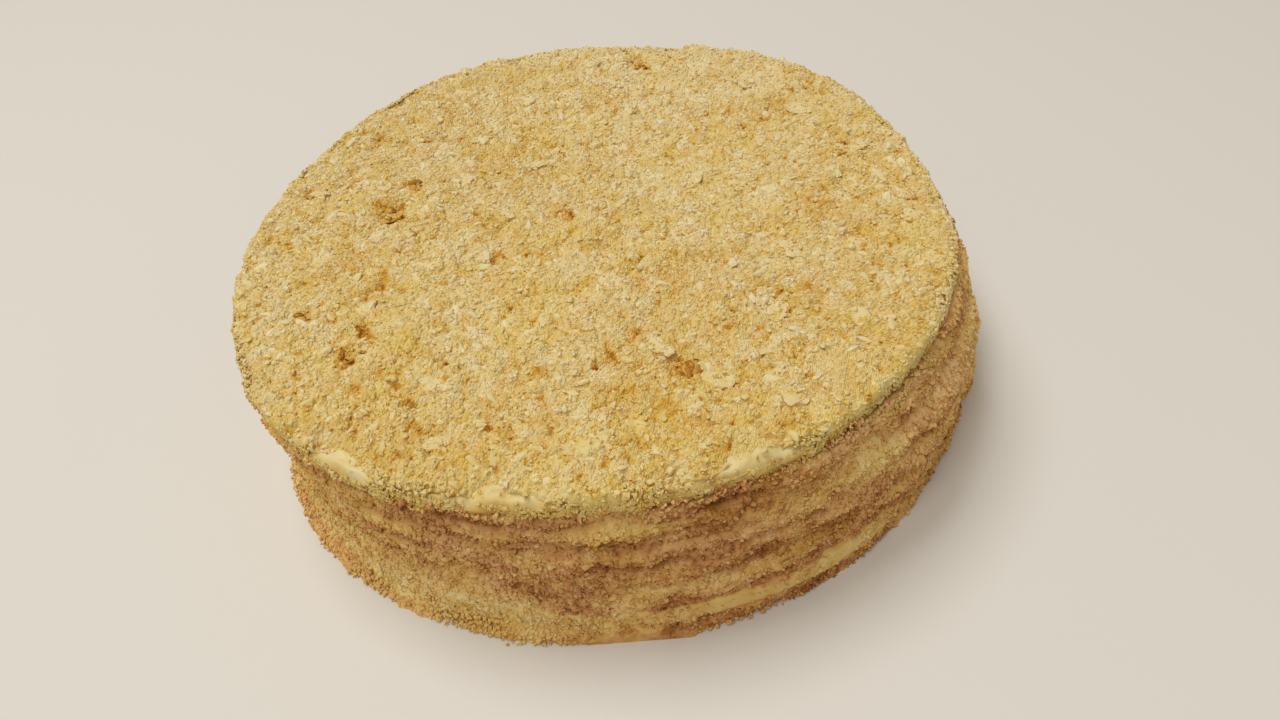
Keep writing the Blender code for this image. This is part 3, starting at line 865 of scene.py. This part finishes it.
def build_coat(quarter, left, front):
    """Quarter of the crumb coat: a square grid drawn round, raised to the coat's height, walled, flat below.

    The four quarters meet along the cake's two middle lines, a hair apart.
    """
    cells = COAT_CELLS
    line = np.linspace(0.0, 1.0, cells + 1)
    a, b = np.meshgrid(line - left, line - front, indexing="xy")
    share, angle = round_off(a, b)
    radius = share * coat_edge(angle)
    x = radius * np.cos(angle) + (0.5 - left) * QUARTER_GAP
    y = radius * np.sin(angle) + (0.5 - front) * QUARTER_GAP
    column, row = np.meshgrid(np.arange(cells + 1), np.arange(cells + 1))
    grain = hashed(np.stack((column, row, np.zeros_like(row)), axis=-1), 5)
    within = (share < 0.99) & (share > 0.01)
    z = coat_height(x, y) + GRAIN * (grain - 0.5) * within
    top = np.stack((x, y, z), axis=-1).reshape(-1, 3)
    index = np.arange(len(top)).reshape(cells + 1, cells + 1)
    rim = np.concatenate((index[0, :-1], index[:-1, -1], index[-1, :0:-1], index[:0:-1, 0]))
    edge = top[rim]
    outer = share.reshape(-1)[rim] > 0.999
    rim_angle = np.arctan2(edge[:, 1], edge[:, 0])
    rim_radius = np.hypot(edge[:, 0], edge[:, 1])
    drop = edge[:, 2] - COAT_BOTTOM
    skirt = [
        spot(rim_angle, rim_radius + outer * out, COAT_BOTTOM - down + up * drop)
        for out, down, up in ((-0.1 * MM, 0.25 * MM, 0.0), (0.1 * MM, 0.0, 0.35), (0.2 * MM, 0.0, 0.75))
    ]
    count = len(rim)
    start = len(top)
    middle = top.mean(axis=0) * (1.0, 1.0, 0.0) + (0.0, 0.0, COAT_BOTTOM)
    points = np.concatenate((top, *skirt, middle[None]))
    ring = np.arange(count)
    following = np.roll(ring, -1)
    rings = (start + ring, start + count + ring, start + 2 * count + ring, rim)
    faces = [grid_faces(cells + 1, cells + 1, closed=False)]
    for lower, upper in zip(rings[:-1], rings[1:]):
        faces.append(np.stack((lower, lower[following], upper[following]), axis=-1))
        faces.append(np.stack((lower, upper[following], upper), axis=-1))
    faces.append(fan_faces(rings[0], len(points) - 1, upward=False))
    faces = np.concatenate(faces)
    # Painted shade: the bed is deeper in tone than the crumbs lying on it, where it shows between them
    tone = lump_tone(points) - BED_PAINTED_SHADE
    marks = {"tone": np.clip(tone, 0.05, 1.0), "cream": golden_share(points)}
    add_piece("crumb_coat_" + quarter, points, faces, CRUMB_BASE, marks, "crumb_coat", flat=True)


def octahedron():
    """Six corners on the axes, and the eight triangles between them, facing out."""
    corners = np.concatenate((np.eye(3), -np.eye(3)))
    faces = []
    for triple in itertools.product((0, 3), (1, 4), (2, 5)):
        a, b, c = corners[list(triple)]
        faces.append(triple if np.dot(np.cross(b - a, c - a), a + b + c) > 0.0 else triple[::-1])
    return corners, np.array(faces)


def icosahedron():
    """Twelve corners at the turned places of (0, 1, golden ratio), and the triples of neighbours."""
    golden = (1.0 + math.sqrt(5.0)) / 2.0
    signs = itertools.product((-1.0, 1.0), repeat=2)
    rectangle = np.array([(0.0, a, golden * b) for a, b in signs])
    corners = np.concatenate([np.roll(rectangle, i, axis=1) for i in range(3)])
    faces = []
    for triple in itertools.combinations(range(12), 3):
        a, b, c = corners[list(triple)]
        if max(np.linalg.norm(a - b), np.linalg.norm(b - c), np.linalg.norm(c - a)) < 2.1:
            faces.append(triple if np.dot(np.cross(b - a, c - a), a + b + c) > 0.0 else triple[::-1])
    return unit(corners), np.array(faces)


def shard():
    """Thin seven-cornered shard: three rings of corners and two centres, 42 triangles, facing out."""
    corners = 7
    turn = 2.0 * math.pi * np.arange(corners) / corners
    low = spot(turn, 0.92, -0.5)
    high = spot(turn, 0.84, 0.5)
    middle = spot(turn, 1.0, 0.05)
    points = np.concatenate((low, middle, high, ((0.0, 0.0, -0.55), (0.0, 0.0, 0.6))))
    return points, closed_faces(3, corners)


def uneven_shapes(points, draw):
    """Several uneven copies of a shape: each corner moved in or out by its own share."""
    return points[None] * (1.0 + draw.uniform(-UNEVENNESS, UNEVENNESS, (SHAPE_KINDS, len(points), 1)))


def lying_frames(normals, tilt, draw):
    """Frames that lie on a surface: third axis by its normal, tipped at random, and turned about it."""
    third = unit(normals + tilt * draw.normal(size=normals.shape))
    first = unit(np.cross(third, draw.normal(size=normals.shape)))
    return np.stack((first, np.cross(third, first), third), axis=-1)


def scatter(name, shape, finish, places, normals, tilt, sizes, tone, cream, draw, crevice=PAINTED_SHADE):
    """One mesh of many crumbs: uneven copies of a shape, sized, turned and put in place as whole arrays.

    A crumb's upper and outer points are paler than its lower ones, which lie in the crevices, as painted
    light and shade. Any crumb that would reach out of the part's own box is left out.
    """
    corners, faces = shape
    normals = np.broadcast_to(normals, places.shape)
    shapes = uneven_shapes(corners, draw)
    pick = draw.integers(len(shapes), size=len(places))
    frames = lying_frames(normals, tilt, draw)
    local = shapes[pick] * (sizes / 2.0)[:, None, :]
    points = np.einsum("nij,nvj->nvi", frames, local) + places[:, None, :]
    outward = unit(unit(normals) + (0.0, 0.0, 0.8))
    rise = np.einsum("nvi,ni->nv", points - places[:, None, :], outward) / (0.5 * sizes[:, None, 0])
    kept = np.all((points > BOX_LOW) & (points < BOX_HIGH), axis=(1, 2))
    points, tone, cream, rise = points[kept], tone[kept], cream[kept], rise[kept]
    each = points.shape[1]
    all_faces = repeated_faces(faces, each, len(points))
    # Painted light and shade: the higher a point stands on its crumb the paler it is, the lower the deeper
    tone = tone[:, None] + crevice * np.clip(rise - PAINTED_SHADE_MIDDLE, -1.0, 1.0)
    marks = {"tone": np.clip(tone, 0.02, 1.0).ravel(), "cream": np.repeat(cream, each)}
    add_piece(name, points.reshape(-1, 3), all_faces, finish, marks, flat=True)


def crumb_tones(count, middle, draw):
    """Tones of crumbs: mostly near the middle tone, a few toasted or pale."""
    tone = middle + 0.025 * draw.normal(size=count)
    kind = draw.uniform(size=count)
    tone = np.where(kind < 0.02, tone - 0.16, tone)
    tone = np.where(kind > 0.97, tone + 0.06, tone)
    return np.clip(tone, 0.03, 1.0)


def crumb_sizes(count, smallest, largest, flatness, draw):
    """Length, width and thickness of crumbs: lengths between two in mm, most often near the smallest."""
    smallest, largest = smallest * MM, largest * MM
    length = smallest + (largest - smallest) * draw.uniform(size=count) ** 2.0
    width = length * draw.uniform(0.6, 0.95, count)
    return np.stack((length, width, length * flatness * draw.uniform(0.8, 1.2, count)), axis=-1)


def large_flakes():
    """Place, height, length, width and turn of each larger flake, drawn by its number as in the part."""
    tilt = math.radians(FLAKE_TILT)
    flakes = []
    for number in range(FLAKES):
        draw = random.Random(number)
        share = FLAKE_REACH * math.sqrt((number + 0.5) / PLASTIC_NUMBER ** 2 % 1.0)
        angle = 2.0 * math.pi * (number / PLASTIC_NUMBER % 1.0)
        x = share * TOP_RADIUS * math.cos(angle) + draw.uniform(-1.0, 1.0) * FLAKE_JITTER
        y = share * TOP_RADIUS * math.sin(angle) + draw.uniform(-1.0, 1.0) * FLAKE_JITTER
        length = FLAKE_LONGEST + (FLAKE_SHORTEST - FLAKE_LONGEST) * number / FLAKES
        width = length * FLAKE_WIDTH_SHARE * draw.uniform(0.8, 1.2)
        turn = Euler((0.0, 0.0, draw.uniform(0.0, 2.0 * math.pi))).to_matrix()
        turn = turn @ Euler((0.0, draw.uniform(-tilt, tilt), 0.0)).to_matrix()
        turn = turn @ Euler((draw.uniform(-tilt, tilt), 0.0, 0.0)).to_matrix()
        if number not in FLAKES_LEFT_OUT:
            z = coat_height(np.array([x]), np.array([y]))[0] + FLAKE_SETTLED
            flakes.append((x, y, z, length, width, np.array(turn)))
    return flakes


LARGE_FLAKES = large_flakes()


def on_flakes(x, y, z):
    """Heights raised to the tops of the larger flakes, as flat ellipsoids, and 1 over a flake, else 0."""
    over = np.zeros(len(x))
    for flake_x, flake_y, flake_z, length, width, turn in LARGE_FLAKES:
        along = ((x - flake_x) * turn[0, 0] + (y - flake_y) * turn[1, 0]) / (0.5 * length)
        across = ((x - flake_x) * turn[0, 1] + (y - flake_y) * turn[1, 1]) / (0.5 * width)
        dome = 1.0 - along * along - across * across
        tipped = flake_z + turn[2, 0] * along * 0.5 * length + turn[2, 1] * across * 0.5 * width
        top = tipped + 0.5 * FLAKE_THICKNESS * np.sqrt(np.maximum(dome, 0.0))
        z = np.where(dome > 0.0, np.maximum(z, top), z)
        over = np.where(dome > 0.0, 1.0, over)
    return z, over


def top_places(count, bury, draw):
    """Places spread evenly over the coat and its flakes, buried a little, and 1 for each over a flake."""
    angle = draw.uniform(0.0, 2.0 * math.pi, count)
    reach = coat_edge(angle) + 0.3 * bare_rim(angle, STOP_SHORT) * draw.uniform(size=count)
    radius = reach * np.sqrt(draw.uniform(size=count))
    x = radius * np.cos(angle)
    y = radius * np.sin(angle)
    z, over = on_flakes(x, y, coat_height(x, y))
    z = z - bury + TOP_LIFT * draw.uniform(size=count) ** 2.0
    return np.stack((x, y, z), axis=-1), over


def build_top_crumbs():
    """Crumbs over the coat: fine ones, middling ones, and small flakes and lumps lying on it.

    Each row gives name, count, shape, least and greatest length in mm, flatness, narrowness, tilt, how much
    paler they are, and seed. Those that lie on larger flakes are as pale as these.
    """
    for name, count, shape, smallest, largest, flatness, narrowness, tilt, paler, seed in (
        ("crumbs_top_fine", 22000, octahedron(), 0.8, 1.5, 0.8, 1.0, 1.5, 0.0, 1),
        ("crumbs_top_fine_too", 14000, octahedron(), 0.9, 2.1, 0.8, 1.0, 1.5, 0.0, 4),
        ("crumbs_top_middling", 3000, icosahedron(), 1.6, 3.0, 0.6, 1.0, 0.5, 0.0, 2),
        ("flakes_top_small", 1300, icosahedron(), 2.6, 6.5, 0.4, 0.6, 0.25, 0.07, 3),
    ):
        draw = np.random.default_rng(seed)
        sizes = crumb_sizes(count, smallest, largest, flatness, draw)
        sizes[:, 1] *= narrowness
        places, over = top_places(count, TOP_BURIED * sizes[:, 2], draw)
        middle = lump_tone(places) + paler
        middle = np.where(over > 0.0, np.maximum(0.5 * middle + 0.44, middle), middle)
        tone = crumb_tones(count, middle, draw)
        golden = golden_share(places) * (1.0 - 0.7 * over)
        scatter(name, shape, CRUMB_LOOSE, places, UP, tilt, sizes, tone, golden, draw)


def rim_hem(angle):
    """How far the lower edge of the rim's crumbs lies off the cap's foot: uneven, but never over the rim."""
    place = spot(angle, TOP_RADIUS, 0.0)
    return np.minimum(wander(place, RAGGED_HEM) - 0.5 * MM, HEM_HIGHEST)


def side_places(count, draw):
    """Places spread evenly over the side, thinned where the cream is bare."""
    angle = draw.uniform(0.0, 2.0 * math.pi, count)
    z = 0.5 * MM + (CAP_BOTTOM + 0.8 * MM + np.maximum(rim_hem(angle), -1.5 * MM)) * draw.uniform(size=count)
    number, _ = layer_at(angle, z)
    kept = draw.uniform(size=count) > 0.78 * bare_band(angle, number)
    return angle[kept], z[kept]


def build_side_crumbs():
    """Crumbs pressed on the side, toned by the layer that they lie on, and on the cap's edge in places.

    Each row gives name, count, shape, least and greatest length in mm, flatness, tilt and seed.
    """
    for name, count, shape, smallest, largest, flatness, tilt, seed in (
        ("crumbs_side_fine", 24000, octahedron(), 0.9, 1.6, 0.8, 9.0, 11),
        ("crumbs_side_fine_too", 17000, octahedron(), 1.0, 2.2, 0.8, 9.0, 14),
        ("crumbs_side_middling", 3000, icosahedron(), 1.6, 3.0, 0.7, 1.2, 12),
        ("flakes_side_small", 400, shard(), 2.4, 4.6, 0.4, 0.4, 13),
    ):
        draw = np.random.default_rng(seed)
        angle, z = side_places(count, draw)
        count = len(angle)
        sizes = crumb_sizes(count, smallest, largest, flatness, draw)
        cap_side = np.where(z > CAP_BOTTOM, top_edge(angle) - 0.4 * MM, 0.0)
        radius = np.maximum(side_radius(angle, z), cap_side) - SIDE_BURIED * sizes[:, 2]
        radius = radius + SIDE_LIFT * draw.uniform(size=count) ** 2.0
        places = spot(angle, radius, z)
        tone, cream = side_look(angle, z)
        tone = crumb_tones(count, tone, draw) + 0.04 * draw.normal(size=count)
        normals = spot(angle, 1.0, 0.0)
        scatter(name, shape, SIDE_LOOSE, places, normals, tilt, sizes, tone, cream, draw)


def build_rim_crumbs():
    """Crumbs down the cap's side and rolled over the rim on a quarter circle, few where the cream is bare.

    Their lower edge is ragged: in places they hang over the layer under the cap.
    """
    draw = np.random.default_rng(21)
    angle = draw.uniform(0.0, 2.0 * math.pi, RIM_CRUMBS)
    arc = draw.uniform(0.0, 1.0, RIM_CRUMBS)
    smear = np.clip(bare_rim(angle, SMEARED) / (1.0 * MM), 0.0, 1.0)
    kept = draw.uniform(size=RIM_CRUMBS) > 0.96 * smear * smooth((arc - 0.4) / 0.2)
    angle, arc = angle[kept], arc[kept]
    count = len(angle)
    slope = np.clip((arc - 0.72) / 0.28, 0.0, 1.0) * math.pi / 2.0
    upright = np.minimum(arc / 0.72, 1.0)
    z = CAP_BOTTOM - 0.6 * MM + 5.6 * MM * upright + (1.0 - upright) * rim_hem(angle)
    z = z + 2.0 * MM * np.sin(slope)
    radius = top_edge(angle) - 0.5 * MM - 2.6 * MM * (1.0 - np.cos(slope))
    radius = np.where(z < CAP_BOTTOM, side_radius(angle, z), radius)
    sizes = crumb_sizes(count, 0.9, 2.4, 0.55, draw)
    on_rim = spot(angle, radius, z)
    bumps = np.maximum(wander(on_rim, RIM_BUMPS), -0.25 * MM)
    places = spot(angle, radius + bumps * np.cos(slope), z + bumps * np.sin(slope))
    normals = spot(angle, np.cos(slope), np.sin(slope))
    tone = crumb_tones(count, RIM_TONE + 0.16 * arc + wander(places, RIM_MOTTLES), draw)
    cream = golden_share(places)
    shape = octahedron()
    scatter("crumbs_rim", shape, CRUMB_LOOSE, places, normals, 0.45, sizes, tone, cream, draw, RIM_PAINTED_SHADE)


def foot_heap(angle):
    """How thick the crumbs lie at the foot, from 0 to 1: even over one stretch of bearings."""
    across = turn_between(angle, FOOT_HEAP_BEARING) / FOOT_HEAP_HALF
    return np.exp(-(across ** 4.0))


def build_foot_crumbs():
    """Crumbs heaped at the foot, touching the cake, most at its left and front."""
    draw = np.random.default_rng(31)
    angle = draw.uniform(0.0, 2.0 * math.pi, FOOT_CRUMBS)
    kept = draw.uniform(size=FOOT_CRUMBS) < 0.18 + 0.82 * foot_heap(angle)
    angle = angle[kept]
    count = len(angle)
    sizes = crumb_sizes(count, 0.9, 2.2, 0.75, draw)
    height = draw.uniform(size=count)
    uneven = 0.9 * MM + 1.8 * MM * noise(spot(angle, BODY_RADIUS, 0.0), 7.0 * MM, 103)
    away = (1.0 - height) * (1.2 * MM + foot_heap(angle) * uneven) * draw.uniform(size=count) ** 1.5
    z = 0.45 * sizes[:, 2] + 5.0 * MM * height ** 2.0
    places = spot(angle, side_edge(angle, z) - 0.5 * MM + away, z)
    tone, cream = side_look(angle, z)
    tone = crumb_tones(count, 0.6 * tone + 0.34, draw)
    cream = np.clip(cream + 0.4, 0.0, 1.0)
    scatter("crumbs_foot", octahedron(), SIDE_LOOSE, places, UP, 1.0, sizes, tone, cream, draw)


def build_brown_shards():
    """Toasted shards lying in the brown hollows."""
    draw = np.random.default_rng(41)
    centres = np.repeat(HOLLOWS[list(BROWN_HOLLOWS), :3], SHARDS_EACH, axis=0)
    count = len(centres)
    place = centres[:, :2] + draw.normal(size=(count, 2)) * 0.32 * centres[:, 2:]
    z = coat_height(place[:, 0], place[:, 1]) + 0.3 * MM
    places = np.column_stack((place, z))
    sizes = crumb_sizes(count, 2.0, 5.0, 0.3, draw)
    tone = draw.uniform(0.24, 0.55, count)
    scatter("shards_browned", shard(), CRUMB_LOOSE, places, UP, 0.5, sizes, tone, np.zeros(count), draw)


def build_large_flakes():
    """Larger flakes, each a flat uneven lump by bearing and height, roughened by noise and tilted."""
    rows, columns = 15, 28
    rise, around_it = np.meshgrid(
        np.linspace(-1.0, 1.0, rows) * math.pi / 2.0,
        np.linspace(0.0, 2.0 * math.pi, columns, endpoint=False),
        indexing="ij",
    )
    reach = np.cos(rise) ** 0.55
    rounded = spot(around_it, reach, np.sign(np.sin(rise)) * np.abs(np.sin(rise)) ** 0.8)
    parts = []
    for number, (*centre, length, width, turn) in enumerate(LARGE_FLAKES):
        lump = rounded * (1.0 + 0.35 * noise(unit(rounded) + 7.0 * number, 0.6, 95)[..., None])
        lump = lump * np.array((length, width, FLAKE_THICKNESS)) / 2.0
        for size, strength, seed in ((1.9 * MM, 0.6 * MM, 96), (0.8 * MM, 0.4 * MM, 99)):
            shift = np.stack([noise(lump + number, size, seed + i) for i in range(3)], axis=-1)
            lump = lump + strength * shift
        lump[0] = lump[0].mean(axis=0)
        lump[-1] = lump[-1].mean(axis=0)
        lump = lump.reshape(-1, 3) @ turn.T + np.array(centre)
        lump[:, 2] -= max(0.0, lump[:, 2].max() - BOX_HIGH[2] + 0.1 * MM)
        parts.append(lump)
    all_faces = repeated_faces(grid_faces(rows, columns, closed=True), rows * columns, len(parts))
    points = np.concatenate(parts)
    tone = np.clip(0.5 * lump_tone(points) + 0.32, 0.4, 0.8)
    marks = {"tone": tone, "cream": np.full(len(points), 0.1)}
    add_piece("flakes_large", points, all_faces, CRUMB_LOOSE, marks, flat=True)


def build_surroundings():
    """Plain pale floor, soft light from above, behind on the left and in front, and the camera."""
    floor_mesh = bpy.data.meshes.new("floor")
    corners = [(FLOOR_REACH * x, FLOOR_REACH * y, 0.0) for x, y in ((-1, -1), (1, -1), (1, 1), (-1, 1))]
    floor_mesh.from_pydata(corners, [], [(0, 1, 2, 3)])
    floor = bpy.data.objects.new("floor", floor_mesh)
    finish, _, shader = new_finish("pale floor", 0.7)
    shader.inputs["Base Color"].default_value = FLOOR_COLOUR
    floor_mesh.materials.append(finish)
    bpy.context.scene.collection.objects.link(floor)

    world = bpy.data.worlds.new("room")
    world.use_nodes = True
    sky = world.node_tree.nodes["Background"]
    sky.inputs["Color"].default_value = SKY_COLOUR
    sky.inputs["Strength"].default_value = SKY_STRENGTH
    bpy.context.scene.world = world

    for name, power, bearing, rise in LIGHTS:
        light = bpy.data.lights.new(name, "AREA")
        light.shape = "DISK"
        light.size = LIGHT_SIZE
        light.energy = power
        light.color = LIGHT_COLOUR
        lamp = bpy.data.objects.new(name, light)
        bearing, rise = math.radians(bearing), math.radians(rise)
        lamp.location = spot(bearing, LIGHT_DISTANCE * math.cos(rise), LIGHT_DISTANCE * math.sin(rise))
        lamp.rotation_euler = Euler((math.radians(90.0) - rise, 0.0, bearing + math.radians(90.0)))
        bpy.context.scene.collection.objects.link(lamp)

    camera_data = bpy.data.cameras.new("camera")
    camera_data.lens = CAMERA_LENS
    camera_data.sensor_width = 36.0
    camera_data.sensor_fit = "HORIZONTAL"
    camera_data.clip_start = 0.01
    camera = bpy.data.objects.new("camera", camera_data)
    camera.location = CAMERA_PLACE
    camera.rotation_euler = Euler([math.radians(part) for part in CAMERA_TURN])
    bpy.context.scene.collection.objects.link(camera)
    bpy.context.scene.camera = camera
    bpy.context.scene.view_settings.view_transform = "Standard"


for layer_number in range(len(LAYERS)):
    build_layer(layer_number)
build_cap()
for quarter_name, left_half, front_half in QUARTERS:
    build_coat(quarter_name, left_half, front_half)
build_large_flakes()
build_top_crumbs()
build_brown_shards()
build_rim_crumbs()
build_side_crumbs()
build_foot_crumbs()
build_surroundings()

bpy.context.view_layer.update()
